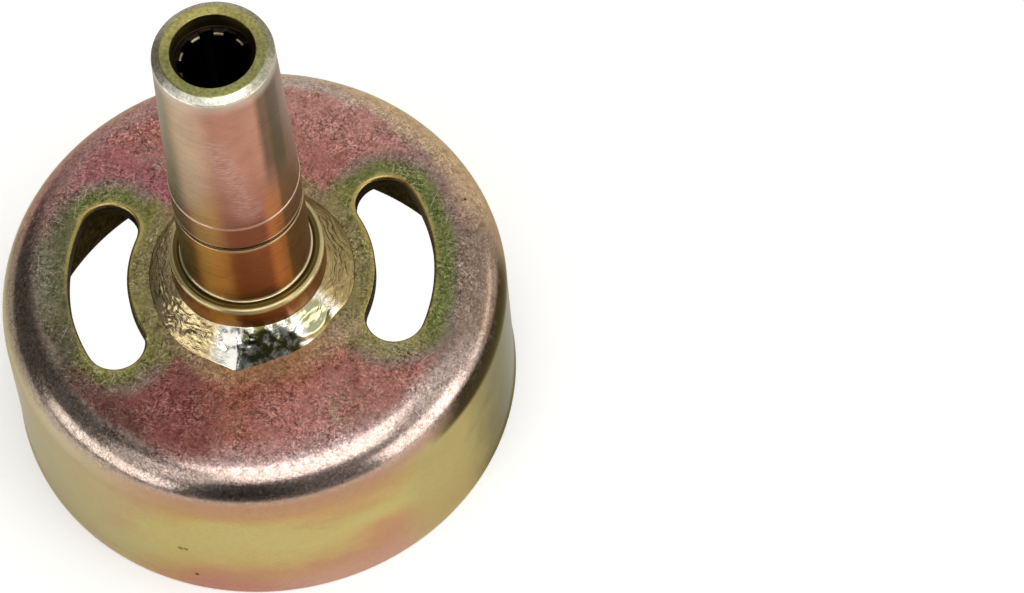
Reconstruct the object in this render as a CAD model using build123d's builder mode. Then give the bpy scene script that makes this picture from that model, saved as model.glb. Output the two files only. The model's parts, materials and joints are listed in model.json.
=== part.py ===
from build123d import *
from math import cos, pi, sin, sqrt
import os

os.makedirs("parts", exist_ok=True)

# Clutch drum of a brush cutter: a pressed steel cup that the clutch shoes grip from inside,
# with a turned shaft, splined inside, welded upright on its cap.
# Millimetres. The origin is the centre of the open rim, and +Z runs up along the shaft.

# Pressed cup
drum_diameter = 59.0
drum_depth = 23.5
sheet = 2.0
bend_radius = 3.3          # inside of the bend from cap to wall
lip_flare = 0.2            # how far the open edge leans out
lip_height = 1.2

# Two curved slots in the cap
slot_count = 2
slot_width = 6.8
slot_span = 50.0           # degrees from one end's centre to the other's
slot_rim_land = 2.95       # flat left between a slot and the bend
slot_edge_break = 0.25     # edge drawn in by the punch

# Turned shaft, from the cap upwards
spigot_diameter = 14.0
spigot_clearance = 0.05    # radial, in the hole in the cap
spigot_proud = 0.5         # length left standing inside the cup
collar_height = 6.4
collar_edge_chamfer = 0.45
shoulder_width = 1.5       # how far the collar stands out from the seat
seat_diameter = 15.0
seat_length = 11.0         # width of the ball bearing that sits here
ring_groove_width = 0.8
ring_groove_depth = 0.35
land_length = 4.2
land_edge_chamfer = 0.15
taper_length = 25.0
nose_diameter = 13.6
nose_chamfer_width = 0.95
nose_chamfer_height = 0.6

# Bore of the shaft
pilot_diameter = 9.4
pilot_depth = 2.2
spline_teeth = 9
spline_root_diameter = 8.2
spline_tip_diameter = 7.0
spline_root_width = 1.5    # tooth width where it meets the bore
spline_tip_width = 1.0

# Fillet weld between collar and cap, with the lump where the run starts and ends
weld_leg = 2.8             # out along the cap
weld_height = 2.7          # up the collar
lump_radius = 3.3
lump_reach = 0.7           # of the lump's centre line, out from the collar
lump_rise = 0.1            # of the lump's centre line, above the cap
lump_start = -85.0         # degrees about +Z, from +X
lump_turn = 36.0

# Derived radii and heights
wall_outer = drum_diameter / 2
cap_underside = drum_depth - sheet
cap_flat_radius = wall_outer - sheet - bend_radius
wall_top = cap_underside - bend_radius
slot_pitch_radius = cap_flat_radius - slot_rim_land - slot_width / 2
spigot_radius = spigot_diameter / 2
seat_radius = seat_diameter / 2
collar_radius = seat_radius + shoulder_width
nose_radius = nose_diameter / 2
groove_radius = seat_radius - ring_groove_depth
spline_root_radius = spline_root_diameter / 2
spline_tip_radius = spline_tip_diameter / 2

spigot_end = cap_underside - spigot_proud
shoulder = drum_depth + collar_height
groove_low = shoulder + seat_length
groove_high = groove_low + ring_groove_width
taper_base = groove_high + land_length
chamfer_base = taper_base + taper_length
shaft_top = chamfer_base + nose_chamfer_height
spline_top = shaft_top - pilot_depth


# Pressed cup: one sheet section turned about the axis, then punched
with BuildPart() as drum_cup:
    with BuildSketch(Plane.XZ) as sheet_section:
        with BuildLine():
            FilletPolyline(
                (0, drum_depth),
                (wall_outer, drum_depth),
                (wall_outer, lip_height),
                radius=bend_radius + sheet,
            )
            inner_bend = [
                (cap_flat_radius + bend_radius * cos(turn), wall_top + bend_radius * sin(turn))
                for turn in (0, pi / 6, pi / 3, pi / 2)
            ]
            Polyline(
                (wall_outer, lip_height),
                (wall_outer + lip_flare, 0),
                (wall_outer + lip_flare - sheet, 0),
                (wall_outer - sheet, lip_height),
                *inner_bend,
                (0, cap_underside),
                (0, drum_depth),
            )
        make_face()
    revolve(axis=Axis.Z)
    with BuildSketch(Plane.XY.offset(drum_depth)) as slots:
        with PolarLocations(0, slot_count):
            SlotArc(CenterArc((0, 0), slot_pitch_radius, -slot_span / 2, slot_span), slot_width)
    extrude(amount=-sheet, mode=Mode.SUBTRACT)
    cap_face = drum_cup.faces().sort_by(Axis.Z)[-1]
    chamfer(cap_face.inner_wires().edges(), length=slot_edge_break)
    with Locations((0, 0, drum_depth)):
        Hole(radius=spigot_radius + spigot_clearance, depth=sheet)
drum_cup.part.label = "drum_cup"
export_step(drum_cup.part, "parts/drum_cup.step")


# Turned shaft: outside profile, then pilot, lead-in and broached teeth
with BuildPart() as output_shaft:
    with BuildSketch(Plane.XZ) as turned_profile:
        with BuildLine():
            Polyline(
                (0, spigot_end),
                (spigot_radius, spigot_end),
                (spigot_radius, drum_depth),
                (collar_radius, drum_depth),
                (collar_radius, shoulder),
                (seat_radius, shoulder),
                (seat_radius, groove_low),
                (groove_radius, groove_low),
                (groove_radius, groove_high),
                (seat_radius, groove_high),
                (seat_radius, taper_base),
                (nose_radius, chamfer_base),
                (nose_radius - nose_chamfer_width, shaft_top),
                (0, shaft_top),
                close=True,
            )
        make_face()
        collar_corner = turned_profile.vertices().sort_by_distance((collar_radius, shoulder))[0]
        chamfer(collar_corner, length=collar_edge_chamfer)
        land_corner = turned_profile.vertices().sort_by_distance((seat_radius, groove_high))[0]
        chamfer(land_corner, length=land_edge_chamfer)
    revolve(axis=Axis.Z)
    with BuildSketch(Plane.XY.offset(shaft_top)) as pilot:
        Circle(pilot_diameter / 2)
    extrude(amount=-pilot_depth, mode=Mode.SUBTRACT)
    with BuildSketch(Plane.XY.offset(spline_top)) as spline:
        Circle(spline_root_radius)
        tooth_base = sqrt(spline_root_radius**2 - (spline_root_width / 2) ** 2)
        tooth_depth = spline_root_radius - spline_tip_radius
        with PolarLocations(0, spline_teeth):
            Polygon(
                (spline_tip_radius, -spline_tip_width / 2),
                (tooth_base, -spline_root_width / 2),
                (spline_root_radius + tooth_depth, -spline_root_width / 2),
                (spline_root_radius + tooth_depth, spline_root_width / 2),
                (tooth_base, spline_root_width / 2),
                (spline_tip_radius, spline_tip_width / 2),
                align=None,
                mode=Mode.SUBTRACT,
            )
    extrude(amount=-(spline_top - spigot_end), mode=Mode.SUBTRACT)
    with Locations((0, 0, spline_top)):
        Cone(
            bottom_radius=spline_tip_radius,
            top_radius=spline_root_radius,
            height=tooth_depth,
            align=(Align.CENTER, Align.CENTER, Align.MAX),
            mode=Mode.SUBTRACT,
        )
output_shaft.part.label = "output_shaft"
export_step(output_shaft.part, "parts/output_shaft.step")


# Weld: a flat-faced fillet all round, and a round-ended lump over the start of the run
with BuildPart() as weld_bead:
    with BuildSketch(Plane.XZ) as weld_section:
        Polygon(
            (collar_radius, drum_depth),
            (collar_radius + weld_leg, drum_depth),
            (collar_radius, drum_depth + weld_height),
            align=None,
        )
    revolve(axis=Axis.Z)
    with BuildLine(Plane.XY.offset(drum_depth + lump_rise)) as lump_run:
        CenterArc((0, 0), collar_radius + lump_reach, lump_start, lump_turn)
    with BuildSketch(Plane(origin=lump_run.line @ 0, z_dir=lump_run.line % 0)) as lump_section:
        Circle(lump_radius)
    sweep(path=lump_run.line)
    with Locations(lump_run.line @ 0, lump_run.line @ 1):
        Sphere(lump_radius)
    split(bisect_by=Plane.XY.offset(drum_depth), keep=Keep.TOP)
    with Locations((0, 0, drum_depth)):
        Cylinder(
            collar_radius,
            collar_height,
            align=(Align.CENTER, Align.CENTER, Align.MIN),
            mode=Mode.SUBTRACT,
        )
weld_bead.part.label = "weld_bead"
export_step(weld_bead.part, "parts/weld_bead.step")
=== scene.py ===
import json
from math import atan2, cos, exp, hypot, pi, radians, sin, tan

import bmesh
import bpy
from mathutils import Matrix, Vector, noise
from mathutils.geometry import delaunay_2d_cdt


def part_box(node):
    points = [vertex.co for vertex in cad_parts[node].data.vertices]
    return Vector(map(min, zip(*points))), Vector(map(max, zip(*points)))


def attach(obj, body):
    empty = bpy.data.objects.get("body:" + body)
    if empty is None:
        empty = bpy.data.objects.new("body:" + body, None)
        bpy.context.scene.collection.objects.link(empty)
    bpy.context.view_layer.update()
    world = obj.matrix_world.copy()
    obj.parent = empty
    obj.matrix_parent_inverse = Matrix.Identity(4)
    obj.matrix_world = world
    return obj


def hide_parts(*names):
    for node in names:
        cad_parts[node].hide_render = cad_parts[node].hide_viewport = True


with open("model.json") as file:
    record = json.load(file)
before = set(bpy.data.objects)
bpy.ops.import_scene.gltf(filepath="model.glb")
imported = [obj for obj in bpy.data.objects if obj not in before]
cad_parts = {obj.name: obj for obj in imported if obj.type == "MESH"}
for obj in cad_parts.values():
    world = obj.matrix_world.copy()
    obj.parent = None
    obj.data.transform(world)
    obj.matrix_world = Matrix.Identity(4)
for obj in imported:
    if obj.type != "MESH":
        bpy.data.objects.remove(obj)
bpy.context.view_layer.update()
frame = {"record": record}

mm = 0.001
drumLow, drumHigh = (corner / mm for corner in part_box("drum_cup"))
shaftLow, shaftHigh = (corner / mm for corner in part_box("output_shaft"))
capTop = drumHigh.z
shaftTop = shaftHigh.z
mountSizes = {mount["name"]: mount["dims"] for mount in frame["record"]["mounts"]}
seatRadius = mountSizes["bearing_seat"]["r_mm"]
trackRadius = mountSizes["shoe_track"]["r_mm"]
pilotRadius = mountSizes["pilot_bore"]["r_mm"]
collarRadius = shaftHigh.x
print("frame loaded, cap at", round(capTop, 2), "mm, shaft top at", round(shaftTop, 2), "mm")


def linear(hexColour):  # sRGB hex to the linear colour that shaders take
    channels = [int(hexColour[i:i + 2], 16) / 255 for i in (1, 3, 5)]
    return [c / 12.92 if c <= 0.04045 else ((c + 0.055) / 1.055) ** 2.4 for c in channels] + [1.0]


def addNode(tree, kind, inputs=None, **settings):  # a node among the inputs stands for its first output
    node = tree.nodes.new("ShaderNode" + kind)
    for name, value in settings.items():
        setattr(node, name, value)
    for key, value in (inputs or {}).items():
        if isinstance(value, bpy.types.Node):
            value = value.outputs[0]
        if isinstance(value, bpy.types.NodeSocket):
            tree.links.new(value, node.inputs[key])
        else:
            node.inputs[key].default_value = value
    return node


def smooth(edge0, edge1, value):  # soft step from 0 to 1
    t = min(max((value - edge0) / (edge1 - edge0), 0), 1)
    return t * t * (3 - 2 * t)


def bump(value, middle, width):  # bell of height 1
    return exp(-((value - middle) / width) ** 2)


def turnedBy(angle):  # degrees, brought to -180..180
    return (angle + 180) % 360 - 180


def roundCorners(corners, steps=6):  # (radius, height, rounding) corners to a smooth closed path
    path = []
    for i, (r, z, rounding) in enumerate(corners):
        here = Vector((r, z))
        if rounding == 0:
            path.append((r, z))
            continue
        back = (Vector(corners[i - 1][:2]) - here).normalized()
        ahead = (Vector(corners[(i + 1) % len(corners)][:2]) - here).normalized()
        half = back.angle(ahead) / 2
        centre = here + (back + ahead).normalized() * rounding / sin(half)
        first = here + back * rounding / tan(half) - centre
        turn = first.angle_signed(here + ahead * rounding / tan(half) - centre)
        for k in range(steps + 1):
            spoke = first.copy()
            spoke.rotate(Matrix.Rotation(-turn * k / steps, 2))
            path.append(tuple(centre + spoke))
    return path


def ringOf(radius, height, count):
    angles = [2 * pi * k / count for k in range(count)]
    return [(radius * cos(a), radius * sin(a), height) for a in angles]


def makePiece(name, points, faces):
    mesh = bpy.data.meshes.new(name)
    mesh.from_pydata([[c * mm for c in point] for point in points], [], faces)
    tidy = bmesh.new()
    tidy.from_mesh(mesh)
    bmesh.ops.recalc_face_normals(tidy, faces=tidy.faces)
    tidy.to_mesh(mesh)
    tidy.free()
    mesh.shade_smooth()
    piece = bpy.data.objects.new(name, mesh)
    bpy.context.scene.collection.objects.link(piece)
    piece.modifiers.new("flatFacesStayFlat", "WEIGHTED_NORMAL")
    return piece


def closeRings(rings):  # quads between neighbouring rings, the last one back to the first
    count = len(rings[0])
    points = [point for ring in rings for point in ring]
    faces = []
    for i in range(len(rings)):
        a, b = i * count, (i + 1) % len(rings) * count
        faces += [(a + k, a + (k + 1) % count, b + (k + 1) % count, b + k) for k in range(count)]
    return points, faces


# Pressed cup
cup = {
    "around": 288,
    "sheet": 2.0,
    "bend": 3.3,           # inside radius
    "lipHeight": 1.2,
    "lipRound": 0.3,
    "flareRound": 1.5,     # where the wall turns out into the lip
    "slotPitch": 17.85,
    "slotWidth": 6.8,
    "slotSpan": 50.0,      # degrees between the centres of a slot's ends
    "slotRoll": 0.42,      # radius that the punch drew in
    "hubRadius": 7.05,
    "hubAround": 96,
    "rollSteps": 6,
    "meshStep": 1.3,       # spacing of the points on the flat cap
}


def slotOutline(side, grow):  # side 1 or -1 along X, counter-clockwise
    half = radians(cup["slotSpan"] / 2)
    end = cup["slotWidth"] / 2 + grow
    pitch = cup["slotPitch"]
    endX, endY = pitch * cos(half), pitch * sin(half)
    outline = []
    # arcs: centre, radius, start, sweep and number of points
    for x, y, radius, start, sweep, count in (
        (0, 0, pitch + end, -half, 2 * half, 36),
        (endX, endY, end, half, pi, 22),
        (0, 0, pitch - end, half, -2 * half, 26),
        (endX, -endY, end, -half - pi, pi, 22),
    ):
        angles = [start + sweep * k / count for k in range(count)]
        outline += [(side * (x + radius * cos(a)), side * (y + radius * sin(a))) for a in angles]
    return outline


def slotDistance(x, y):  # from the edge of the nearer slot, negative inside it
    half = radians(cup["slotSpan"] / 2)
    a = min(max(atan2(y, abs(x)), -half), half)
    return hypot(abs(x) - cup["slotPitch"] * cos(a), y - cup["slotPitch"] * sin(a)) - cup["slotWidth"] / 2


def buildCup():
    wallOuter = trackRadius + cup["sheet"]
    lipOuter = drumHigh.x
    bendOuter = cup["bend"] + cup["sheet"]
    capFlat = wallOuter - bendOuter
    under = capTop - cup["sheet"]
    section = roundCorners([
        (capFlat - 5, capTop, 0),
        (wallOuter, capTop, bendOuter),
        (wallOuter, cup["lipHeight"], cup["flareRound"]),
        (lipOuter, drumLow.z, cup["lipRound"]),
        (lipOuter - cup["sheet"], drumLow.z, cup["lipRound"]),
        (trackRadius, cup["lipHeight"], cup["flareRound"]),
        (trackRadius, under, cup["bend"]),
        (capFlat - 5, under, 0),
    ], steps=14)[1:-1]

    count = cup["around"]
    points = []
    faces = []

    def addRing(ring):
        points.extend(ring)
        return list(range(len(points) - len(ring), len(points)))

    def bridge(ringA, ringB):
        n = len(ringA)
        faces.extend((ringA[k], ringA[(k + 1) % n], ringB[(k + 1) % n], ringB[k]) for k in range(n))

    # flat cap: triangles between bend, slots and hub hole
    flat = [p[:2] for p in ringOf(section[0][0], 0, count)]
    hub = [p[:2] for p in ringOf(cup["hubRadius"], 0, cup["hubAround"])]
    slots = [slotOutline(side, cup["slotRoll"]) for side in (1, -1)]
    borders = [flat, hub] + slots
    plan = []
    edges = []
    for border in borders:
        first = len(plan)
        plan += border
        edges += [(first + k, first + (k + 1) % len(border)) for k in range(len(border))]
    r = cup["hubRadius"] + cup["meshStep"]
    while r < section[0][0] - cup["meshStep"] / 2:
        steps = int(2 * pi * r / cup["meshStep"])
        for k in range(steps):
            x, y = r * cos(2 * pi * k / steps), r * sin(2 * pi * k / steps)
            if slotDistance(x, y) > cup["slotRoll"] + cup["meshStep"] / 2:
                plan.append((x, y))
        r += cup["meshStep"]
    planPoints, _, triangles, _, _, _ = delaunay_2d_cdt([Vector(p) for p in plan], edges, [], 0, 1e-6)
    kept = []
    for triangle in triangles:
        middle = sum((planPoints[i] for i in triangle), Vector((0, 0))) / 3
        if middle.length > cup["hubRadius"] and slotDistance(*middle) > cup["slotRoll"]:
            kept.append(triangle)

    starts = [sum(len(b) for b in borders[:i]) for i in range(4)]
    top = addRing([(p.x, p.y, capTop) for p in planPoints])
    lower = [tuple(p) for p in planPoints]
    for i, side in ((2, 1), (3, -1)):
        lower[starts[i]:starts[i] + len(slots[0])] = slotOutline(side, 0)
    bottom = addRing([(x, y, under) for x, y in lower])
    faces.extend(tuple(top[i] for i in t) for t in kept)
    faces.extend(tuple(bottom[i] for i in reversed(t)) for t in kept)
    topBorders = [[top[s + k] for k in range(len(b))] for s, b in zip(starts, borders)]
    bottomBorders = [[bottom[s + k] for k in range(len(b))] for s, b in zip(starts, borders)]

    # bend, wall, lip and inside
    last = topBorders[0]
    for radius, height in section[1:-1]:
        ring = addRing(ringOf(radius, height, count))
        bridge(last, ring)
        last = ring
    bridge(last, bottomBorders[0])

    # rolled edges and walls of the slots
    for i, side in ((2, 1), (3, -1)):
        last = topBorders[i]
        for k in range(1, cup["rollSteps"] + 1):
            a = pi / 2 * k / cup["rollSteps"]
            grow = cup["slotRoll"] * (1 - sin(a))
            drop = cup["slotRoll"] * (1 - cos(a))
            ring = addRing([(x, y, capTop - drop) for x, y in slotOutline(side, grow)])
            bridge(last, ring)
            last = ring
        bridge(last, bottomBorders[i])
    bridge(topBorders[1], bottomBorders[1])
    return makePiece("drumCup", points, faces)


# Turned shaft
shaft = {
    "around": 180,         # a multiple of the teeth
    "spigot": 7.0,
    "shoulder": 6.4,       # collar height above the cap
    "collarRound": 0.5,
    "shoulderStep": 0.12,  # bearing face stands this much above the collar's edge
    "shoulderFace": 8.25,
    "rootRound": 0.22,
    "seatLength": 11.0,
    "groove": (0.8, 0.35),  # width, depth of the ring groove
    "landLength": 4.2,
    "taperStep": 0.07,     # land stands this much proud of the taper
    "noseRadius": 6.8,
    "noseChamfer": (0.95, 0.6),
    "pilotDepth": 2.2,
    "teeth": 9,
    "toothRoot": (4.1, 1.5),  # radius, tooth width there
    "toothTip": (3.5, 1.0),
    "spigotRound": 0.25,
    "footRound": 0.2,      # lower mouth of the bore
    "stepEdge": (0.06, 0.03),  # slope and rounding of the bearing face's step
    "grooveRound": (0.16, 0.05, 0.14),  # lower edge, floor, upper edge
    "landEdge": (0.1, 0.05),  # slope and rounding from the land to the taper
    "noseRound": (0.25, 0.16),  # below and above the chamfer
    "mouthRound": (0.14, 0.1),  # pilot bore at its top and bottom
}


def splineRing(height, lead):  # lead 1 cuts the teeth away, 0 leaves them whole
    rootRadius, rootWidth = shaft["toothRoot"]
    tipRadius, tipWidth = shaft["toothTip"]
    perTooth = shaft["around"] // shaft["teeth"]
    ring = []
    for k in range(shaft["around"]):
        tooth, j = divmod(k, perTooth)
        t = abs(j - perTooth / 2) / (perTooth / 2)  # 1 at the tooth's middle, 0 between teeth
        # points from 0.6 up lie on the tip, those from 0.4 down between teeth, the rest on the flanks
        pitchHalf = pi / shaft["teeth"]
        rootHalf = rootWidth / 2 / rootRadius
        tipHalf = tipWidth / 2 / tipRadius
        if t > 0.6:
            away = tipHalf * (1 - t) / 0.4
            radius = tipRadius
        elif t > 0.4:
            away = tipHalf + (rootHalf - tipHalf) * (0.6 - t) / 0.2
            radius = tipRadius + (rootRadius - tipRadius) * (0.6 - t) / 0.2
        else:
            away = rootHalf + (pitchHalf - rootHalf) * (0.4 - t) / 0.4
            radius = rootRadius
        sideways = away if j <= perTooth / 2 else -away
        middle = 2 * pi * (tooth if j <= perTooth / 2 else tooth + 1) / shaft["teeth"]
        radius += (rootRadius - radius) * lead
        ring.append((radius * cos(middle + sideways), radius * sin(middle + sideways), height))
    return ring


def buildShaft():
    shoulder = capTop + shaft["shoulder"]
    grooveWidth, grooveDepth = shaft["groove"]
    grooveLow = shoulder + shaft["seatLength"]
    grooveHigh = grooveLow + grooveWidth
    taperBase = grooveHigh + shaft["landLength"]
    chamferWidth, chamferHeight = shaft["noseChamfer"]
    taperFoot = seatRadius - shaft["taperStep"]
    stepSlope, stepRound = shaft["stepEdge"]
    lowEdge, floorEdge, highEdge = shaft["grooveRound"]
    landSlope, landRound = shaft["landEdge"]
    outside = roundCorners([
        (shaft["toothRoot"][0], shaftLow.z, shaft["footRound"]),
        (shaft["spigot"], shaftLow.z, shaft["spigotRound"]),
        (shaft["spigot"], capTop, 0),
        (collarRadius, capTop, 0),
        (collarRadius, shoulder - shaft["shoulderStep"], shaft["collarRound"]),
        (shaft["shoulderFace"], shoulder - shaft["shoulderStep"], stepRound),
        (shaft["shoulderFace"] - stepSlope, shoulder, stepRound),
        (seatRadius, shoulder, shaft["rootRound"]),
        (seatRadius, grooveLow, lowEdge),
        (seatRadius - grooveDepth, grooveLow, floorEdge),
        (seatRadius - grooveDepth, grooveHigh, floorEdge),
        (seatRadius, grooveHigh, highEdge),
        (seatRadius, taperBase - landSlope, landRound),
        (taperFoot, taperBase, landRound),
        (shaft["noseRadius"], shaftTop - chamferHeight, shaft["noseRound"][0]),
        (shaft["noseRadius"] - chamferWidth, shaftTop, shaft["noseRound"][1]),
        (pilotRadius, shaftTop, shaft["mouthRound"][0]),
        (pilotRadius, shaftTop - shaft["pilotDepth"], shaft["mouthRound"][1]),
        (shaft["toothRoot"][0], shaftTop - shaft["pilotDepth"], 0),
    ])
    count = shaft["around"]
    splineTop = shaftTop - shaft["pilotDepth"]
    leadDepth = shaft["toothRoot"][0] - shaft["toothTip"][0]
    lower = [p for p in outside if p[1] < splineTop - 0.5 or p[0] > pilotRadius]
    bore = [p for p in outside if p not in lower]
    rings = [ringOf(r, z, count) for r, z in lower + bore[:-1]]
    rings.append(splineRing(splineTop, 1))
    rings.append(splineRing(splineTop - leadDepth * 0.5, 0.5))
    rings.append(splineRing(splineTop - leadDepth, 0))
    rings.append(splineRing(shaftLow.z + 0.4, 0))
    points, faces = closeRings(rings)
    return makePiece("outputShaft", points, faces)


# Weld bead between collar and cap
weld = {
    "around": 720,
    "across": 46,
    "sunk": 0.03,          # into the collar and cap, so no crack shows
    "leg": 2.95,
    "height": 2.7,
    "fullness": 1.0,       # 1 is a flat face, 2 a quarter round
    "poolFullness": 0.14,  # added where the last pool froze
    "noseAngle": -101.0,   # where the run starts and ends, in a steep prow
    "prow": (1.15, 9.0),   # mm it stands out, degrees over which it fades
    "lump": 0.35,          # mm the bead is taller at the prow
    # wider and narrower places of the run: degrees, half length in degrees, mm
    "swellings": ((-132, 22, 0.4), (-22, 18, 0.35), (-36, 9, -0.45)),
    "unevenness": 0.1,
    "lobe": (-50.0, 17.0),  # middle and half length in degrees of the last drop
    "lobeHeight": 0.26,
    "middleRadius": 10.8,  # of the run
    "faceWidth": 3.9,
}


def beadSize(angle):  # leg, height, fullness and share of the pool at an angle in degrees
    fromNose = turnedBy(angle - weld["noseAngle"])
    pool = smooth(-24, -10, fromNose) * (1 - smooth(52, 72, fromNose))
    prow, fade = weld["prow"]
    ridge = exp(-(hypot(fromNose, 2) - 2) / fade)  # hardly rounded
    leg = weld["leg"] + prow * ridge + weld["unevenness"] * sin(radians(angle * 3 + 40))
    for middle, half, size in weld["swellings"]:
        leg += size * bump(turnedBy(angle - middle), 0, half)
    height = weld["height"] + weld["lump"] * smooth(-34, -6, fromNose) * (1 - smooth(0, 50, fromNose))
    fullness = weld["fullness"] + weld["poolFullness"] * pool * smooth(0, 8, fromNose)
    return leg, height, fullness, pool


def beadRipple(angle, slope, pool):  # mm that the skin stands out, slope 0 at the cap to 90 at the collar
    a = radians(angle)
    middle = weld["middleRadius"]
    along, across = a * middle, slope / 90 * weld["faceWidth"]
    spot = Vector((middle * cos(a), middle * sin(a), across))
    warp = noise.noise(spot * 0.55) * 1.3
    streaks = noise.noise(Vector((along / 2.8, (across + warp) / 0.4, 3.0)))   # run of the torch
    knots = abs(noise.noise(Vector((along / 0.9, (across + warp) / 0.45, 8.0))))
    crumbs = noise.noise(spot * 1.6)
    flow = noise.noise(Vector((along / 1.9, (across + warp) / 0.22, 5.0)))
    ridges = sin((across + 0.5 * warp) * 2 * pi / 0.9)
    right = bump(turnedBy(angle - 15), 0, 62)
    left = 1 - right
    edge = sin(radians(slope * 2)) ** 0.7 if 0 < slope < 90 else 0
    lobeMiddle, lobeHalf = weld["lobe"]
    away = hypot(turnedBy(angle - lobeMiddle) / lobeHalf, (slope - 44) / 34)
    crater = bump(away, 0.85, 0.28) - 0.5 * bump(away, 0, 0.5)
    # mm of each kind of mark: crumbly at the left, drawn out at the right, melted in the pool
    rough = left * (0.15 * streaks + 0.08 * crumbs - 0.09 * knots)
    rough += right * (0.03 * ridges + 0.1 * streaks + 0.07 * flow - 0.06 * knots)
    melt = weld["lobeHeight"] * crater + 0.10 * noise.noise(spot * 0.8) + 0.025 * noise.noise(spot * 2.0)
    return edge * ((1 - pool) * rough + pool * melt)


def buildWeld():
    rings = [[] for _ in range(weld["across"] + 2)]
    for k in range(weld["around"]):
        angle = -180 + 360 * k / weld["around"]
        leg, height, fullness, pool = beadSize(angle)
        outward = Vector((cos(radians(angle)), sin(radians(angle)), 0))
        corner = outward * (collarRadius - weld["sunk"]) + Vector((0, 0, capTop - weld["sunk"]))
        rings[0].append(tuple(corner))
        for i in range(weld["across"] + 1):
            slope = 90 * i / weld["across"]
            c, s = cos(radians(slope)), sin(radians(slope))
            reach = ((c / leg) ** fullness + (s / height) ** fullness) ** (-1 / fullness)
            reach += beadRipple(angle, slope, pool)
            rings[i + 1].append(tuple(corner + outward * reach * c + Vector((0, 0, reach * s))))
    points, faces = closeRings(rings)
    return makePiece("weldBead", points, faces)


def newSurface(name):  # a material and its empty node tree
    material = bpy.data.materials.new(name)
    material.use_nodes = True
    material.node_tree.nodes.clear()
    return material, material.node_tree


def placeInMm(tree):
    return addNode(tree, "VectorMath", {0: addNode(tree, "TexCoord").outputs["Object"], "Scale": 1 / mm},
                   operation="SCALE")


def radiusOf(tree, place):  # from the shaft's axis
    flat = addNode(tree, "VectorMath", {0: place, 1: (1, 1, 0)}, operation="MULTIPLY")
    return addNode(tree, "VectorMath", {0: flat}, operation="LENGTH").outputs["Value"]


def softSteps(tree, measures, share, limits):  # share times a soft step of each named measure
    for name, start, full in limits:
        step = addNode(tree, "MapRange", {"Value": measures[name], "From Min": start, "From Max": full},
                       interpolation_type="SMOOTHSTEP")
        share = addNode(tree, "Math", {0: step, 1: share}, operation="MULTIPLY")
    return share


def nearTo(tree, place, middle, outer, inner, share=1.0):  # fades in towards a spot
    away = addNode(tree, "VectorMath", {0: place, 1: middle}, operation="DISTANCE")
    return addNode(tree, "MapRange", {"Value": away.outputs["Value"], "From Min": outer, "From Max": inner,
                                      "To Max": share})


def layOver(tree, colour, films):  # one film over the other: its colour, its part and how it is mixed
    for film, part, how in films:
        film = linear(film) if isinstance(film, str) else film
        both = addNode(tree, "Mix", {0: part, 6: colour, 7: film}, data_type="RGBA", blend_type=how)
        colour = both.outputs[2]
    return colour


def layTints(tree, colour, tints, measures):
    return layOver(tree, colour, [(tint, softSteps(tree, measures, share, limits), "MIX")
                                  for tint, share, *limits in tints])


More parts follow.
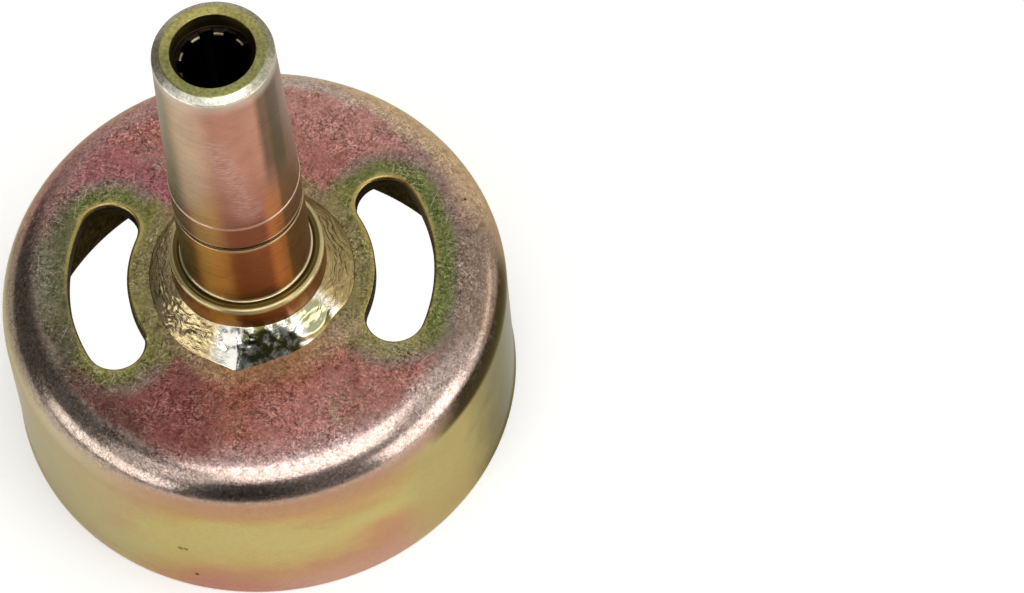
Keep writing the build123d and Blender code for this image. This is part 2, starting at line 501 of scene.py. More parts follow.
# Yellow zinc on pressed steel sheet. The passivated film is about as thin as a wavelength of light,
# so the bright metal below shows rose on the flat, green round the punched edges and gold down the wall.
sheetFinish = {
    "ground": "#9b605a",   # rose of the flat cap
    # colour, share, then each measure in mm with where it starts and where it is full
    "tints": (
        ("#8a4f49", 0.5, ("left", 2, 10), ("front", 5, 11)),
        ("#bd8274", 0.9, ("front", 7, 12), ("right", -9, -2)),
        ("#dca6a2", 0.8, ("front", 13, 18), ("right", -3, 2), ("right", 11, 6)),
        # painted highlight on the bend and painted sheen on the flat before it, at the front right
        ("#c9aca2", 0.85, ("frontRight", 9, 17), ("radius", 23.4, 25.4)),
        ("#d8b8b6", 0.7, ("radius", 21.8, 24.2), ("front", 10, 18), ("right", -8, -2), ("right", 15, 9)),
        ("#ac6c70", 1.0, ("back", 1, 9)),
        ("#b9796a", 0.8, ("backRight", 5, 13)),
        ("#cb9488", 0.7, ("backRight", 17, 22)),
        ("#a87c80", 0.85, ("right", 17, 21), ("back", -6, 4)),
        ("#6c5e56", 0.85, ("right", 18.5, 22.5), ("back", 6, -3)),
        ("#918676", 0.7, ("slot", 4.4, 2.8)),
        ("#85834c", 0.95, ("slot", 3.0, 1.3)),
        ("#707c40", 0.8, ("slot", 3.6, 1.8), ("right", 18.5, 21)),
        ("#6f7a40", 0.6, ("slot", 3.0, 1.4), ("back", 5, 8)),
        ("#a49a70", 0.7, ("slot", 3.2, 1.6), ("right", 9, 13), ("right", 20, 16), ("front", 4, 8)),
        ("#8a8548", 0.8, ("slot", 4.6, 2.6), ("radius", 16.6, 14.8)),
        ("#a5a25a", 0.4, ("slot", 1.1, 0.4)),
        ("#66684a", 0.85, ("left", 19, 22)),
        ("#524a3e", 0.7, ("left", 20, 23), ("front", 2, 8)),
        ("#8a8872", 0.6, ("left", 22.4, 24.2), ("front", 5, -1)),
        ("#93875a", 0.8, ("radius", 14.6, 12.6)),
        ("#ceb190", 0.85, ("radius", 16.0, 13.8), ("front", 6, 10), ("right", -10, -5)),
        ("#6a4640", 0.8, ("left", 11, 16), ("front", 8, 14), ("radius", 20.5, 23)),
        ("#cbb4a8", 1.0, ("radius", 24.4, 26.4)),
        ("#98806a", 0.85, ("radius", 23.8, 25.6), ("right", 14, 24), ("front", 15, 8)),
        ("#dcbb92", 0.8, ("radius", 24.6, 26.6), ("right", 9, 17), ("back", 2, 8)),
        ("#857868", 0.85, ("radius", 24.4, 26.2), ("left", 12, 21)),
        ("#b8a698", 0.85, ("radius", 24.8, 26.6), ("left", 9, 18), ("front", 7, 14)),
        ("#b3807c", 0.8, ("radius", 23.5, 25.5), ("back", 4, 14), ("left", 0, 10)),
    ),
    # pale rubbed places: middle and radius in mm, colour, share
    "smudges": ((8.9, -18.9, 23.5, 3.4, "#b3ad92", 0.9), (-10.3, 17.2, 23.5, 3.2, "#9a9484", 0.8)),
    # heights in mm and colours of the film's bands down the wall
    "bands": ((0, "#c89182"), (4, "#ca9c78"), (8, "#cfba7c"), (11.5, "#cfc082"), (14.5, "#cdbb7b"),
              (17, "#cba574"), (20, "#b98f70")),
    "bandSpan": 24.0,
    "bandWave": 4.0,       # mm that the bands rise and sink
    "bandTilt": (5.0, -3.0),  # and their slant from the front left to the right
    "waveScale": (0.08, 0.08, 0.14),  # waves to a mm
    "wallTints": (
        ("#cfc9aa", 0.75, ("left", 10, 26)),
        ("#c0b27a", 0.85, ("right", 13, 18)),
        # painted shade on the far right of the wall, darker where a dark neighbouring object is reflected
        ("#565339", 0.9, ("right", 22, 28)),
        ("#bb957e", 0.9, ("height", 18.6, 20.4), ("right", 9, 17)),
        ("#d2b49c", 0.5, ("frontRight", 21, 26), ("height", 6, 1), ("right", 20, 14)),
    ),
    # painted shade under the bend at the right, where a dark neighbouring object is reflected
    "bendShade": (
        ("#3b3120", 1.0, ("right", 18, 23), ("back", 3, -3), ("height", 21.7, 21.0), ("height", 18.2, 19.2)),
    ),
    # painted gold highlight on the rolled edge of the slots, stronger on the far edge, then painted shade on
    # their walls
    "slotTints": (
        ("#c7ab6c", 0.2, ("slot", 0.7, 0.35), ("height", 23.0, 23.2), ("strictRadius", 23.5, 23.0)),
        ("#c7ab6c", 0.5, ("slot", 0.7, 0.35), ("height", 23.0, 23.2), ("strictRadius", 23.5, 23.0),
         ("back", 0, 6)),
        ("#33231a", 1.0, ("height", 23.2, 22.9), ("strictRadius", 23.5, 23.0)),
    ),
    "onWall": (("height", 21.6, 20.0),),
    "hidden": (("height", 21.9, 21.6), ("strictRadius", 28.0, 27.7)),  # inside of the cup
    "drawn": (("strictRadius", 23.0, 26.0),),  # bend and wall, drawn over the punch
    "wander": 4.0,         # mm that the borders between tints wander
    "slotWander": 0.35,    # share of it round the slots
    "edgeTint": "#e0dac4",  # film seen at a glancing angle
    # painted shade: dark brown with gold mottles for the inside of the cup
    "inside": "#49371f",
    "insideGold": "#8a7640",
    "insideRoughness": 0.4,  # added to that of the outside
    "darkStroke": "#5d4038",
    "lightStroke": "#e6d6c4",
    "strokeSize": (1.0, 0.19),    # crystals of the etched zinc, drawn three times coarser than real
    "strokeTurns": (12, 55, 101, 148),
    "strokeGlint": (1.9, 0.22),   # how much brighter a light crystal is, and how much paler
    "scratchSize": (3.4, 0.11),
    "scratchTurns": (27, 118),
    "strokeHeight": 0.006,
    "mottle": "#8f7d74",
    "mottleSize": 1.0,
    "wallMottle": 0.15,    # share of mottle and crystals left on the smooth wall
    "wallStrokes": 0.12,
    "tearScale": 0.7,      # ragged marks to a mm in the smudges
    "grainSize": 0.3,      # grains between the crystals, drawn three times coarser than real
    "roughness": (0.30, 0.40),    # on the flat, by the crystals
    "drawnRoughness": 0.6,        # share of it left on bend and wall
    "cloudSize": 4.5,
    # small marks: place and radius in mm, colour
    "specks": ((25.53, 7.22, 23.0, 0.16, "#2a201c"), (-9.9, -27.8, 3.0, 0.22, "#2a201c"),
               (-12.6, -7.5, 23.5, 0.2, "#fff4e6"), (-11.2, -27.2, 8.9, 0.3, "#8d7448"),
               (-10.6, -27.5, 8.95, 0.25, "#8d7448")),
}


def platedSheet():
    finish = sheetFinish
    material, tree = newSurface("yellow zinc on pressed steel sheet")
    place = placeInMm(tree)

    # borders between tints wander by a millimetre or two
    cloud = addNode(tree, "TexNoise", {"Vector": place, "Scale": 1 / finish["cloudSize"], "Detail": 5.0,
                                       "Roughness": 0.62})
    centred = addNode(tree, "VectorMath", {0: cloud.outputs["Color"], 1: (0.5, 0.5, 0.5)},
                      operation="SUBTRACT")
    drift = addNode(tree, "VectorMath", {0: centred, "Scale": finish["wander"]}, operation="SCALE")
    loose = addNode(tree, "VectorMath", {0: place, 1: drift}, operation="ADD")
    axes = addNode(tree, "SeparateXYZ", {0: loose})
    measures = {"right": axes.outputs["X"], "back": axes.outputs["Y"],
                "height": addNode(tree, "SeparateXYZ", {0: place}).outputs["Z"],
                "radius": radiusOf(tree, loose), "strictRadius": radiusOf(tree, place)}
    for name, way in (("left", (-1, 0, 0)), ("front", (0, -1, 0)), ("backRight", (0.47, 0.88, 0)),
                      ("frontRight", (0.6, -0.8, 0))):
        reach = addNode(tree, "VectorMath", {0: loose, 1: way}, operation="DOT_PRODUCT")
        measures[name] = reach.outputs["Value"]

    # distance from the edge of the nearer slot, wandering less
    near = addNode(tree, "Mix", {0: finish["slotWander"], 4: place, 5: loose}, data_type="VECTOR")
    near = addNode(tree, "SeparateXYZ", {0: near.outputs[1]})
    across = addNode(tree, "Math", {0: near.outputs["X"]}, operation="ABSOLUTE")
    bearing = addNode(tree, "Math", {0: near.outputs["Y"], 1: across}, operation="ARCTAN2")
    half = radians(cup["slotSpan"] / 2)
    bearing = addNode(tree, "Clamp", {0: bearing, 1: -half, 2: half})
    alongX = addNode(tree, "Math", {0: bearing}, operation="COSINE")
    alongY = addNode(tree, "Math", {0: bearing}, operation="SINE")
    middle = addNode(tree, "CombineXYZ", {0: alongX, 1: alongY})
    middle = addNode(tree, "VectorMath", {0: middle, "Scale": cup["slotPitch"]}, operation="SCALE")
    here = addNode(tree, "CombineXYZ", {0: across, 1: near.outputs["Y"]})
    gap = addNode(tree, "VectorMath", {0: here, 1: middle}, operation="DISTANCE")
    measures["slot"] = addNode(tree, "Math", {0: gap.outputs["Value"], 1: cup["slotWidth"] / 2},
                               operation="SUBTRACT")
    colour = layTints(tree, linear(finish["ground"]), finish["tints"], measures)

    # wall: the film's bands lie in waves round it, and slant where it is low
    waves = addNode(tree, "Mapping", {"Vector": place, "Scale": finish["waveScale"]})
    waves = addNode(tree, "TexNoise", {"Vector": waves, "Scale": 1.0, "Detail": 3.0, "Roughness": 0.5})
    lift = addNode(tree, "MapRange", {"Value": waves, "From Min": 0.25, "From Max": 0.75,
                                      "To Min": -finish["bandWave"], "To Max": finish["bandWave"]})
    tilt = addNode(tree, "MapRange", {"Value": measures["frontRight"], "From Min": 8, "From Max": 28,
                                      "To Min": finish["bandTilt"][0], "To Max": finish["bandTilt"][1]})
    low = addNode(tree, "MapRange", {"Value": measures["height"], "From Min": 15, "From Max": 8})
    tilt = addNode(tree, "Math", {0: tilt, 1: low}, operation="MULTIPLY")
    lift = addNode(tree, "Math", {0: lift, 1: tilt}, operation="ADD")
    below = softSteps(tree, measures, 1.0, (("height", 19, 15),))
    lift = addNode(tree, "Math", {0: lift, 1: below}, operation="MULTIPLY")
    level = addNode(tree, "Math", {0: measures["height"], 1: lift}, operation="ADD")
    level = addNode(tree, "Math", {0: level, 1: finish["bandSpan"]}, operation="DIVIDE")
    bands = addNode(tree, "ValToRGB", {0: level})
    stops = bands.color_ramp.elements
    for i, (height, tint) in enumerate(finish["bands"]):
        stop = stops[i] if i < 2 else stops.new(1.0)  # a new ramp has two
        stop.position = height / finish["bandSpan"]
        stop.color = linear(tint)
    wall = layTints(tree, bands, finish["wallTints"], measures)
    onWall = softSteps(tree, measures, 1.0, finish["onWall"])
    colour = layOver(tree, colour, [(wall, onWall, "MIX")])
    # painted shade under the bend at the right
    colour = layTints(tree, colour, finish["bendShade"], measures)

    ragged = addNode(tree, "TexNoise", {"Vector": place, "Scale": finish["tearScale"], "Detail": 5.0,
                                        "Roughness": 0.75})
    torn = addNode(tree, "MapRange", {"Value": ragged, "From Min": 0.46, "From Max": 0.6})
    for x, y, z, size, tint, share in finish["smudges"]:
        part = nearTo(tree, loose, (x, y, z), size, size * 0.2, share)
        part = addNode(tree, "Math", {0: part, 1: torn}, operation="MULTIPLY")
        colour = layOver(tree, colour, [(tint, part, "MIX")])

    # film mottled at about a millimetre, in tone and towards mauve or brown
    patches = addNode(tree, "TexNoise", {"Vector": place, "Scale": 1 / finish["mottleSize"], "Detail": 4.0,
                                         "Roughness": 0.7})
    cap = addNode(tree, "MapRange", {"Value": onWall, "To Min": 1.0, "To Max": finish["wallMottle"]})
    hue = addNode(tree, "MapRange", {"Value": patches.outputs["Color"], "From Min": 0.5, "From Max": 0.68,
                                     "To Max": 0.45})
    hue = addNode(tree, "Math", {0: hue, 1: cap}, operation="MULTIPLY")
    dim = addNode(tree, "MapRange", {"Value": patches, "From Min": 0.52, "From Max": 0.32, "To Max": 0.42})
    dim = addNode(tree, "Math", {0: dim, 1: cap}, operation="MULTIPLY")
    colour = layOver(tree, colour, [(finish["mottle"], hue, "MIX"), (finish["darkStroke"], dim, "MULTIPLY")])

    def longMarks(size, turn, detail, shift=0):  # noise drawn out along a direction in degrees
        long, thin = size
        turned = addNode(tree, "VectorRotate", {"Vector": place, "Angle": radians(turn)},
                         rotation_type="Z_AXIS")
        lines = addNode(tree, "Mapping", {"Vector": turned, "Scale": (1 / long, 1 / thin, 1 / thin),
                                          "Location": (shift, 0, 0)})
        return addNode(tree, "TexNoise", {"Vector": lines, "Scale": 1.0, "Detail": detail})

    # crystals of the zinc: short strokes every way, light and dark
    light = dark = None
    for turn in finish["strokeTurns"]:
        stroke = longMarks(finish["strokeSize"], turn, 1.0, turn)
        light = addNode(tree, "Math", {0: stroke, 1: light}, operation="MAXIMUM") if light else stroke
        dark = addNode(tree, "Math", {0: stroke, 1: dark}, operation="MINIMUM") if dark else stroke
    # fewer of them in patches, on the bend and on the wall
    calm = addNode(tree, "MapRange", {"Value": onWall, "To Min": 1.0, "To Max": finish["wallStrokes"]})
    patchy = addNode(tree, "MapRange", {"Value": cloud, "From Min": 0.38, "From Max": 0.62,
                                        "To Min": 0.3, "To Max": 1.0})
    bent = addNode(tree, "MapRange", {"Value": measures["strictRadius"], "From Min": 24.5, "From Max": 27.5,
                                      "To Min": 1.0, "To Max": 0.7})
    for fewer in (patchy, bent):
        calm = addNode(tree, "Math", {0: calm, 1: fewer}, operation="MULTIPLY")
    lightPart = addNode(tree, "MapRange", {"Value": light, "From Min": 0.63, "From Max": 0.75})
    lightPart = addNode(tree, "Math", {0: lightPart, 1: calm}, operation="MULTIPLY")
    darkPart = addNode(tree, "MapRange", {"Value": dark, "From Min": 0.42, "From Max": 0.22, "To Max": 0.9})
    darkPart = addNode(tree, "Math", {0: darkPart, 1: calm}, operation="MULTIPLY")
    colour = layOver(tree, colour, [(finish["darkStroke"], darkPart, "MULTIPLY")])
    grain = addNode(tree, "TexNoise", {"Vector": place, "Scale": 1 / finish["grainSize"], "Detail": 2.0,
                                       "Roughness": 0.6})
    grain = addNode(tree, "MapRange", {"Value": grain, "From Min": 0.3, "From Max": 0.7,
                                       "To Min": 0.4, "To Max": 1.6})
    grain = addNode(tree, "Mix", {0: calm, 2: 1.0, 3: grain})
    colour = addNode(tree, "VectorMath", {0: colour, "Scale": grain}, operation="SCALE")
    brighter, paler = finish["strokeGlint"]
    bright = addNode(tree, "VectorMath", {0: colour, "Scale": brighter}, operation="SCALE")
    bright = layOver(tree, bright, [(finish["lightStroke"], paler, "MIX")])
    colour = layOver(tree, colour, [(bright, lightPart, "MIX")])

    # a few handling scratches
    for turn in finish["scratchTurns"]:
        streak = longMarks(finish["scratchSize"], turn, 0.0)
        streak = addNode(tree, "MapRange", {"Value": streak, "From Min": 0.80, "From Max": 0.85,
                                            "To Max": 0.7})
        streak = addNode(tree, "Math", {0: streak, 1: calm}, operation="MULTIPLY")
        colour = layOver(tree, colour, [(finish["lightStroke"], streak, "MIX")])

    # slots, the inside in painted shade, and single specks
    # painted highlight on the slots' rolled edges and painted shade on their walls
    colour = layTints(tree, colour, finish["slotTints"], measures)
    golden = addNode(tree, "MapRange", {"Value": patches, "From Min": 0.42, "From Max": 0.66})
    inside = layOver(tree, linear(finish["inside"]), [(finish["insideGold"], golden, "MIX")])
    hidden = softSteps(tree, measures, 1.0, finish["hidden"])
    colour = layOver(tree, colour, [(inside, hidden, "MIX")])
    for x, y, z, size, tint in finish["specks"]:
        dot = nearTo(tree, place, (x, y, z), size * 1.5, size * 0.7)
        colour = layOver(tree, colour, [(tint, dot, "MIX")])

    rough = addNode(tree, "MapRange", {"Value": light, "From Min": 0.45, "From Max": 0.75,
                                       "To Min": finish["roughness"][0], "To Max": finish["roughness"][1]})
    drawn = softSteps(tree, measures, 1.0, finish["drawn"])
    smoother = addNode(tree, "MapRange", {"Value": drawn, "To Min": 1.0, "To Max": finish["drawnRoughness"]})
    rough = addNode(tree, "Math", {0: rough, 1: smoother}, operation="MULTIPLY")
    rough = addNode(tree, "Math", {0: hidden, 1: finish["insideRoughness"], 2: rough},
                    operation="MULTIPLY_ADD")
    both = addNode(tree, "Math", {0: light, 1: dark}, operation="ADD")
    both = addNode(tree, "Math", {0: both, 1: calm}, operation="MULTIPLY")
    relief = addNode(tree, "Bump", {"Height": both, "Strength": 1.0, "Distance": finish["strokeHeight"] * mm})
    shader = addNode(tree, "BsdfPrincipled", {"Base Color": colour, "Metallic": 1.0, "Roughness": rough,
                                              "Normal": relief, "Specular Tint": linear(finish["edgeTint"])})
    addNode(tree, "OutputMaterial", {"Surface": shader})
    return material


# Yellow zinc on turned steel: satin along the shaft from the tool's fine rings, so lights draw out into
# upright bands;
# pink gold on the taper, copper on the bearing seat, bare and silvery on the rubbed nose. Upright bands of
# light and shade, lines of light on edges, and shade in the groove and bore are also painted into the colour.
shaftFinish = {
    "collarSide": "#9a5a22",
    # colour, share, then each measure in mm with where it starts and where it is full
    "tints": (
        # painted highlight on the collar's left side
        ("#dca83c", 0.7, ("left", 1.0, 2.4), ("left", 5.2, 3.8)),
        # paler over the collar's rounded edge: a painted highlight
        ("#c8b684", 1.0, ("shoulder", -0.85, -0.5)),
        ("#5d4f24", 1.0, ("radius", 8.62, 8.4), ("shoulder", -0.4, -0.2)),
        ("#6f6132", 1.0, ("radius", 8.42, 8.3), ("shoulder", -0.3, -0.05)),
        ("#3f3518", 1.0, ("radius", 8.12, 7.95), ("shoulder", -0.3, -0.05)),
        # painted highlight in the fillet at the root of the bearing seat
        ("#dccaa2", 1.0, ("radius", 7.74, 7.66), ("shoulder", -0.2, -0.05)),
        ("#a9692f", 1.0, ("shoulder", 0.2, 0.3)),
        ("#9c6445", 1.0, ("groove", 0.4, 0.8)),
        ("#a87664", 1.0, ("taper", -0.1, 0.5)),
        ("#c48e76", 1.0, ("taper", 0, 13)),
        # painted upright bands of reflected light and shade: highlights left of the middle, dark bands to the
        # right and at both edges
        ("#d2a763", 0.75, ("shoulder", 0.2, 0.5), ("left", 0.8, 2.8), ("left", 5.8, 4.4), ("taper", 11, 1)),
        ("#dbb898", 0.6, ("taper", 3, 12), ("left", 0.8, 2.8), ("left", 5.8, 4.4)),
        ("#e0a650", 0.85, ("shoulder", 0.2, 0.5), ("groove", 0.4, 0.0), ("left", 0.8, 2.8),
         ("left", 5.8, 4.4)),
        ("#c9b593", 0.6, ("taper", -0.1, 5), ("left", 2.0, 4.5)),
        ("#74482c", 0.6, ("shoulder", 0.2, 0.5), ("left", 1.8, -0.4), ("right", 4.2, 2.6),
         ("taper", 3.0, -1.0)),
        ("#cf8448", 0.7, ("shoulder", 0.2, 0.5), ("right", 2.8, 3.8), ("taper", 9.0, 2.0)),
        ("#6f6a3c", 0.75, ("shoulder", 0.2, 0.5), ("left", 5.0, 6.4)),
        ("#6b5030", 0.75, ("shoulder", 0.2, 0.5), ("right", 4.9, 5.4)),
        ("#4d4426", 0.75, ("taper", 3, 12), ("right", 3.6, 4.5), ("right", 6.6, 6.2)),
        # painted highlight along the step from the land to the taper
        ("#dcbba6", 0.75, ("taper", -0.34, -0.24), ("taper", 0.1, 0.02)),
        # painted highlights on the groove's upper and lower edges, then painted shade inside it
        ("#f3e2b6", 0.9, ("groove", 0.74, 0.82), ("groove", 1.2, 1.06), ("front", 7.3, 6.4)),
        ("#c3a880", 0.6, ("groove", -0.36, -0.2), ("groove", 0.04, 0.0)),
        ("#1c140c", 1.0, ("radius", 7.47, 7.36), ("groove", -0.02, 0.06), ("groove", 0.86, 0.8)),
        ("#d8c9b8", 0.6, ("nose", -2.2, -0.2)),
        ("#ebe4d0", 1.0, ("nose", -0.3, 0.0)),
        ("#9a9478", 0.85, ("nose", -0.3, 0.0), ("front", 3.0, 0.0)),
        ("#8c886a", 0.6, ("nose", -0.3, 0.0), ("right", 2.5, 5.0)),
        ("#94925a", 1.0, ("end", -0.08, -0.03)),
        ("#b8ac68", 0.7, ("end", -0.08, -0.03), ("front", 1.5, -3.5)),
        ("#6e5f33", 1.0, ("radius", 4.82, 4.72)),
        # painted shade down the pilot bore, darkest at its floor
        ("#33281a", 1.0, ("radius", 4.74, 4.66), ("end", -0.5, -1.5)),
        ("#1d1610", 1.0, ("radius", 4.66, 4.5), ("end", -1.9, -2.1)),
        # painted glints on the ends of the teeth at the back
        ("#cdbf98", 1.0, ("radius", 3.92, 3.84), ("end", -2.66, -2.52), ("right", 3.5, 3.0),
         ("front", 1.6, 0.6)),
    ),
    "rub": ((-0.9, -7.0, 62.6), (1.7, -7.1, 48.5), 1.3),   # from, to and half width in mm of a scuffed patch
    "rubColour": "#d9c8c2",
    "ringSize": 0.17,      # feed of the tool, drawn twice as coarse as real
    "ringHeight": 0.0016,
    "grainSize": 0.4,      # etched grain of the end face, drawn twice as coarse as real
    "roughness": (0.26, 0.34),
    "satin": (0.9, 0.25),  # how far lights draw out, and the turn from the rings to along the shaft
    "ringBreak": 0.12,     # breaks of the rings to a mm, round the shaft
    "cloudScale": 0.35,
    "hairScale": (1.1, 1.1, 4.5),  # fine marks to a mm in the scuffed patch
}


def platedShaft():
    finish = shaftFinish
    material, tree = newSurface("yellow zinc on turned steel")
    place = placeInMm(tree)
    shoulder = capTop + shaft["shoulder"]
    groove = shoulder + shaft["seatLength"]
    taper = groove + shaft["groove"][0] + shaft["landLength"]
    nose = shaftTop - shaft["noseChamfer"][1]
    axes = addNode(tree, "SeparateXYZ", {0: place})
    measures = {"right": axes.outputs["X"], "radius": radiusOf(tree, place)}
    for name, start in (("shoulder", shoulder), ("groove", groove), ("taper", taper), ("nose", nose),
                        ("end", shaftTop)):
        measures[name] = addNode(tree, "Math", {0: axes.outputs["Z"], 1: start}, operation="SUBTRACT")
    for name, axis in (("left", "X"), ("front", "Y")):
        measures[name] = addNode(tree, "Math", {0: axes.outputs[axis], 1: -1.0}, operation="MULTIPLY")
    colour = layTints(tree, linear(finish["collarSide"]), finish["tints"], measures)

    # turning marks: rings along the shaft, broken up round it
    perRing = (finish["ringBreak"], finish["ringBreak"], 1 / finish["ringSize"])
    rings = addNode(tree, "Mapping", {"Vector": place, "Scale": perRing})
    marks = addNode(tree, "TexNoise", {"Vector": rings, "Scale": 1.0, "Detail": 2.0, "Roughness": 0.6})
    cloud = addNode(tree, "TexNoise", {"Vector": place, "Scale": finish["cloudScale"], "Detail": 4.0,
                                       "Roughness": 0.6})
    tone = addNode(tree, "MapRange", {"Value": marks, "From Min": 0.35, "From Max": 0.65,
                                      "To Min": 0.95, "To Max": 1.04})
    shade = addNode(tree, "MapRange", {"Value": cloud, "From Min": 0.3, "From Max": 0.7,
                                       "To Min": 0.9, "To Max": 1.08})
    grain = addNode(tree, "TexNoise", {"Vector": place, "Scale": 1 / finish["grainSize"], "Detail": 3.0,
                                       "Roughness": 0.7})
    grain = addNode(tree, "MapRange", {"Value": grain, "From Min": 0.3, "From Max": 0.7,
                                       "To Min": 0.6, "To Max": 1.45})
    atEnd = addNode(tree, "MapRange", {"Value": measures["nose"], "From Min": -0.2, "From Max": 0.1})
    grain = addNode(tree, "Mix", {0: atEnd, 2: 1.0, 3: grain})
    for factor in (shade, grain):
        tone = addNode(tree, "Math", {0: tone, 1: factor}, operation="MULTIPLY")
    colour = addNode(tree, "VectorMath", {0: colour, "Scale": tone}, operation="SCALE")

    # scuffed patch: distance from a line between its ends
    start, end, width = finish["rub"]
    line = Vector(end) - Vector(start)
    offset = addNode(tree, "VectorMath", {0: place, 1: start}, operation="SUBTRACT")
    along = addNode(tree, "VectorMath", {0: offset, 1: line / line.length_squared}, operation="DOT_PRODUCT")
    along = addNode(tree, "Clamp", {0: along.outputs["Value"]})
    nearest = addNode(tree, "VectorMath", {0: tuple(line), "Scale": along}, operation="SCALE")
    rub = nearTo(tree, offset, nearest, width * 1.6, width * 0.3)
    hair = addNode(tree, "Mapping", {"Vector": place, "Scale": finish["hairScale"]})
    fine = addNode(tree, "TexNoise", {"Vector": hair, "Scale": 1.0, "Detail": 4.0, "Roughness": 0.7})
    fine = addNode(tree, "MapRange", {"Value": fine, "From Min": 0.44, "From Max": 0.66, "To Max": 0.6})
    rub = addNode(tree, "Math", {0: rub, 1: fine}, operation="MULTIPLY")
    colour = layOver(tree, colour, [(finish["rubColour"], rub, "MIX")])

    rough = addNode(tree, "MapRange", {"Value": marks, "From Min": 0.3, "From Max": 0.7,
                                       "To Min": finish["roughness"][0], "To Max": finish["roughness"][1]})
    relief = addNode(tree, "Bump", {"Height": marks, "Strength": 1.0, "Distance": finish["ringHeight"] * mm})
    ring = addNode(tree, "Tangent", direction_type="RADIAL", axis="Z")
    drawnOut, turned = finish["satin"]
    shader = addNode(tree, "BsdfPrincipled", {
        "Base Color": colour, "Metallic": 1.0, "Roughness": rough, "Normal": relief, "Tangent": ring,
        "Anisotropic": drawnOut, "Anisotropic Rotation": turned})
    addNode(tree, "OutputMaterial", {"Surface": shader})
    return material


# Yellow zinc on a weld bead: glossy where the last pool froze smooth, streaky pale gold along the run.
weldFinish = {
    "pool": "#fffcf0",
    "face": "#5e5c34",     # painted dark reflection on the lump between its prow and the last drop
    "drop": "#bdbb92",     # last drop at the end of the run
    "run": "#cdb88a",
    "green": "#a18d5e",    # film of the run's right half
    "burnt": "#4f3c22",    # between the streaks
    "burntShare": (0.9, 0.75),   # at the left and at the right
    "streakSize": (2.2, 0.26),   # along and across the run, mm
    "streakWave": 1.6,
    "streakHeight": 0.04,
    "roughness": (0.13, 0.24),   # of the pool and of the run
    "rightRoughness": 0.05,      # added at the right
    # degrees from the prow, or mm to the right, with where each starts and where it is full
    "poolEnds": (("turn", -19, -9), ("turn", 75, 57)),
    "faceEnds": (("turn", 1, 4), ("turn", 42, 36)),
    "dropEnds": (("turn", 40, 46), ("turn", 67, 61)),
    "rightHalf": (("right", -3, 7),),
}


def platedWeld():
    finish = weldFinish
    material, tree = newSurface("yellow zinc on a weld bead")
    place = placeInMm(tree)
    axes = addNode(tree, "SeparateXYZ", {0: place})
    bearing = addNode(tree, "Math", {0: axes.outputs["Y"], 1: axes.outputs["X"]}, operation="ARCTAN2")
    turn = addNode(tree, "Math", {0: bearing, 1: 180 / pi, 2: -weld["noseAngle"]}, operation="MULTIPLY_ADD")
    measures = {"right": axes.outputs["X"], "turn": turn}
    pool, face, drop, right = (softSteps(tree, measures, 1.0, finish[name])
                               for name in ("poolEnds", "faceEnds", "dropEnds", "rightHalf"))

    # streaks along the run, wavy
    long, thin = finish["streakSize"]
    along = addNode(tree, "Math", {0: bearing, 1: weld["middleRadius"] / long}, operation="MULTIPLY")
    wave = addNode(tree, "TexNoise", {"Vector": place, "Scale": 0.9, "Detail": 2.0})
    across = addNode(tree, "Math", {0: radiusOf(tree, place), 1: axes.outputs["Z"]}, operation="SUBTRACT")
    across = addNode(tree, "Math", {0: wave, 1: finish["streakWave"], 2: across}, operation="MULTIPLY_ADD")
    across = addNode(tree, "Math", {0: across, 1: 0.7 / thin}, operation="MULTIPLY")  # the face slopes
    spot = addNode(tree, "CombineXYZ", {0: along, 1: across})
    streaks = addNode(tree, "TexNoise", {"Vector": spot, "Scale": 1.0, "Detail": 3.0, "Roughness": 0.6})
    burnt = addNode(tree, "MapRange", {"Value": streaks, "From Min": 0.48, "From Max": 0.33})
    less = addNode(tree, "MapRange", {"Value": right, "To Min": finish["burntShare"][0],
                                      "To Max": finish["burntShare"][1]})
    burnt = addNode(tree, "Math", {0: burnt, 1: less}, operation="MULTIPLY")
    run = layOver(tree, linear(finish["run"]),
                  [(finish["green"], right, "MIX"), (finish["burnt"], burnt, "MIX")])

    # lump: a mottled face in painted dark reflection from the prow to where the last drop starts
    mottle = addNode(tree, "TexNoise", {"Vector": place, "Scale": 0.9, "Detail": 4.0, "Roughness": 0.7})
    mottle = addNode(tree, "MapRange", {"Value": mottle, "From Min": 0.66, "From Max": 0.46})
    face = addNode(tree, "Math", {0: face, 1: mottle}, operation="MULTIPLY")
    lump = layOver(tree, linear(finish["pool"]),
                   [(finish["face"], face, "MIX"), (finish["drop"], drop, "MIX")])
    colour = layOver(tree, run, [(lump, pool, "MIX")])

    smoothest, roughest = finish["roughness"]
    rough = addNode(tree, "MapRange", {"Value": pool, "To Min": roughest, "To Max": smoothest})
    rough = addNode(tree, "Math", {0: right, 1: finish["rightRoughness"], 2: rough}, operation="MULTIPLY_ADD")
    raised = addNode(tree, "MapRange", {"Value": pool, "To Min": 1.0, "To Max": 0.2})
    for factor in (less, streaks):
        raised = addNode(tree, "Math", {0: raised, 1: factor}, operation="MULTIPLY")
    relief = addNode(tree, "Bump", {"Height": raised, "Strength": 1.0,
                                    "Distance": finish["streakHeight"] * mm})
    shader = addNode(tree, "BsdfPrincipled", {"Base Color": colour, "Metallic": 1.0, "Roughness": rough,
                                              "Normal": relief})
    addNode(tree, "OutputMaterial", {"Surface": shader})
    return material


studio = {
    "floorSize": 4000.0,
    "floorGlow": 0.3,      # lifts the floor to the white of the page
    "floorMirrored": 0.4,  # share of that glow in reflections
    "wall": 0.78,          # light that comes from the room's pale right and back
    "leftShade": 0.80,     # share of it missing at the left
    "frontShade": 0.8,     # and in front, round the camera
    # name: direction and height in degrees, distance, width and height in mm, radiance
    "softboxes": {
        "overhead": (-72, 70, 600, 480, 420, 1.9),
        "rightStrip": (-31, 16, 600, 420, 300, 2.1),
        "leftStrip": (-152, 17, 600, 540, 240, 2.2),
        "rightLow": (12, 10, 600, 340, 90, 1.4),
        "leftFill": (-138, 46, 600, 320, 290, 0.9),
    },
}


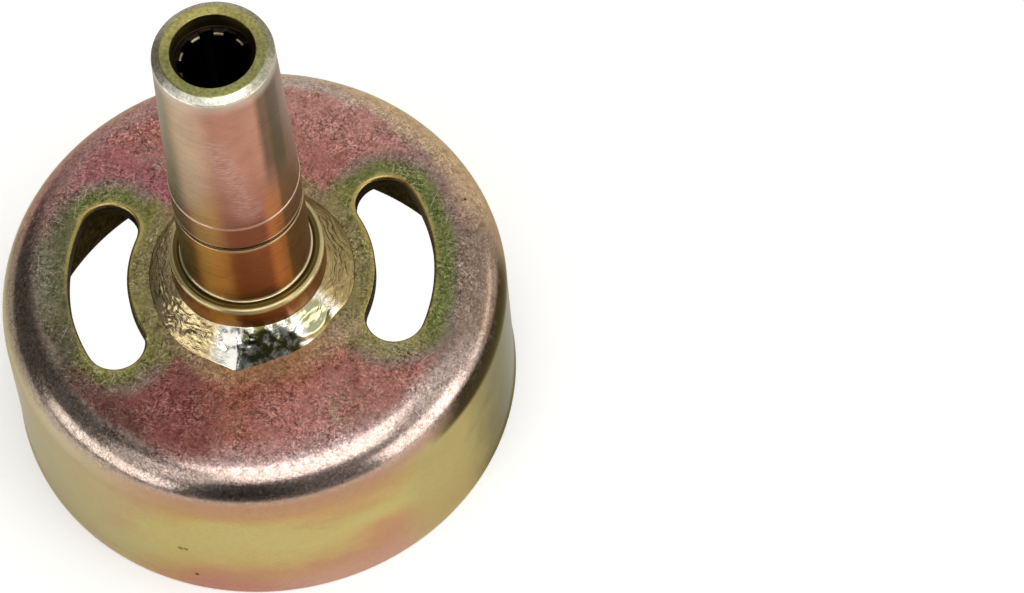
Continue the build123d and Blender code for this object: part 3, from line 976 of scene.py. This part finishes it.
def paleFloor():
    material, tree = newSurface("white studio floor")
    path = addNode(tree, "LightPath")
    seen = addNode(tree, "Math", {0: path.outputs["Is Glossy Ray"], 1: studio["floorMirrored"],
                                  2: path.outputs["Is Camera Ray"]}, operation="MULTIPLY_ADD")
    seen = addNode(tree, "Math", {0: seen, 1: path.outputs["Is Transmission Ray"]}, operation="MAXIMUM")
    lift = addNode(tree, "Math", {0: seen, 1: studio["floorGlow"]}, operation="MULTIPLY")
    cover = addNode(tree, "BsdfDiffuse", {"Color": linear("#f4f3f1")})
    glow = addNode(tree, "Emission", {"Color": linear("#ffffff"), "Strength": lift})
    both = addNode(tree, "AddShader", {0: cover, 1: glow})
    # the floor seen down through the slots stays pale too
    place = addNode(tree, "TexCoord")
    away = addNode(tree, "VectorMath", {0: place.outputs["Object"]}, operation="LENGTH")
    underRim = (drumHigh.x - cup["sheet"] / 2) * mm
    inside = addNode(tree, "Math", {0: away.outputs["Value"], 1: underRim}, operation="LESS_THAN")
    through = addNode(tree, "Math", {0: inside, 1: path.outputs["Is Camera Ray"]}, operation="MULTIPLY")
    pale = addNode(tree, "Emission", {"Color": linear("#ffffff"), "Strength": 1.0})
    shown = addNode(tree, "MixShader", {0: through, 1: both, 2: pale})
    addNode(tree, "OutputMaterial", {"Surface": shown})
    return material


def lightStudio():
    floorMesh = bpy.data.meshes.new("floor")
    h = studio["floorSize"] / 2 * mm
    floorMesh.from_pydata([(-h, -h, 0), (h, -h, 0), (h, h, 0), (-h, h, 0)], [], [(0, 1, 2, 3)])
    floor = bpy.data.objects.new("floor", floorMesh)
    bpy.context.scene.collection.objects.link(floor)
    floor.data.materials.append(paleFloor())

    world = bpy.data.worlds.new("studio")
    bpy.context.scene.world = world
    world.use_nodes = True
    tree = world.node_tree
    tree.nodes.clear()
    path = addNode(tree, "LightPath")
    direction = addNode(tree, "SeparateXYZ", {0: addNode(tree, "TexCoord").outputs["Generated"]})
    side = addNode(tree, "Math", {0: direction.outputs["Y"], 1: 0.35, 2: direction.outputs["X"]},
                   operation="MULTIPLY_ADD")
    left = addNode(tree, "MapRange", {"Value": side, "From Min": -0.05, "From Max": -0.42,
                                      "To Min": 1.0, "To Max": 1 - studio["leftShade"]},
                   interpolation_type="SMOOTHSTEP")
    front = addNode(tree, "MapRange", {"Value": direction.outputs["Y"], "From Min": -0.2, "From Max": -0.7,
                                       "To Min": 1.0, "To Max": 1 - studio["frontShade"]},
                    interpolation_type="SMOOTHSTEP")
    level = addNode(tree, "Math", {0: left, 1: front}, operation="MULTIPLY")
    level = addNode(tree, "Math", {0: level, 1: studio["wall"]}, operation="MULTIPLY")
    shown = addNode(tree, "Mix", {0: path.outputs["Is Camera Ray"], 2: level, 3: 1.0})
    ground = addNode(tree, "Background", {"Color": linear("#ffffff"), "Strength": shown})
    addNode(tree, "OutputWorld", {"Surface": ground})

    middle = Vector((0, 0, capTop * mm))
    for name, (azimuth, elevation, distance, width, tall, radiance) in studio["softboxes"].items():
        lamp = bpy.data.lights.new(name, "AREA")
        lamp.shape = "RECTANGLE"
        lamp.size = width * mm
        lamp.size_y = tall * mm
        lamp.energy = radiance * pi * lamp.size * lamp.size_y
        box = bpy.data.objects.new(name, lamp)
        a, e = radians(azimuth), radians(elevation)
        away = Vector((cos(e) * cos(a), cos(e) * sin(a), sin(e)))
        box.location = middle + away * distance * mm
        box.rotation_euler = away.to_track_quat("Z", "Y").to_euler()
        box.visible_camera = False
        bpy.context.scene.collection.objects.link(box)


view = {
    "frame": (1024, 593),
    "sensor": 36.0,
    "lens": 203.57,
    "azimuth": 4.8,
    "elevation": 59.462,
    "roll": -9.877,
    "distance": 671.28,    # to the cap's centre
    "capPixel": (250.84, 272.19),
}


def placeCamera():
    width, height = view["frame"]
    focal = view["lens"] / view["sensor"] * width
    azimuth, elevation, roll = (radians(view[k]) for k in ("azimuth", "elevation", "roll"))
    target = Vector((0, 0, capTop * mm))
    away = Vector((cos(elevation) * sin(azimuth), -cos(elevation) * cos(azimuth), sin(elevation)))
    eye = target + away * view["distance"] * mm
    right = (-away).cross(Vector((0, 0, 1))).normalized()
    level = Matrix((right, (-away).cross(right), -away))
    across, down = view["capPixel"]
    ray = Vector(((across - width / 2) / focal, (down - height / 2) / focal, 1))
    aim = Vector((0, 0, 1)).rotation_difference(ray.normalized()).to_matrix()
    turned = aim @ Matrix.Rotation(roll, 3, "Z") @ level
    data = bpy.data.cameras.new("camera")
    data.sensor_width = view["sensor"]
    data.lens = view["lens"]
    data.clip_start = 0.01
    camera = bpy.data.objects.new("camera", data)
    axes = Matrix((turned[0], -turned[1], -turned[2])).transposed()
    camera.matrix_world = Matrix.Translation(eye) @ axes.to_4x4()
    bpy.context.scene.collection.objects.link(camera)
    bpy.context.scene.camera = camera


bpy.context.scene.view_settings.view_transform = "Standard"
placeCamera()
lightStudio()
print("camera and studio are set")

for build, node, slot, finish in (
    (buildCup, "drum_cup", "plated_sheet", platedSheet),
    (buildShaft, "output_shaft", "plated_shaft", platedShaft),
    (buildWeld, "weld_bead", "plated_weld", platedWeld),
):
    piece = build()
    piece.data.materials.append(finish())
    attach(piece, "root")
    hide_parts(node)
    print("made", piece.name, len(piece.data.polygons), "faces")
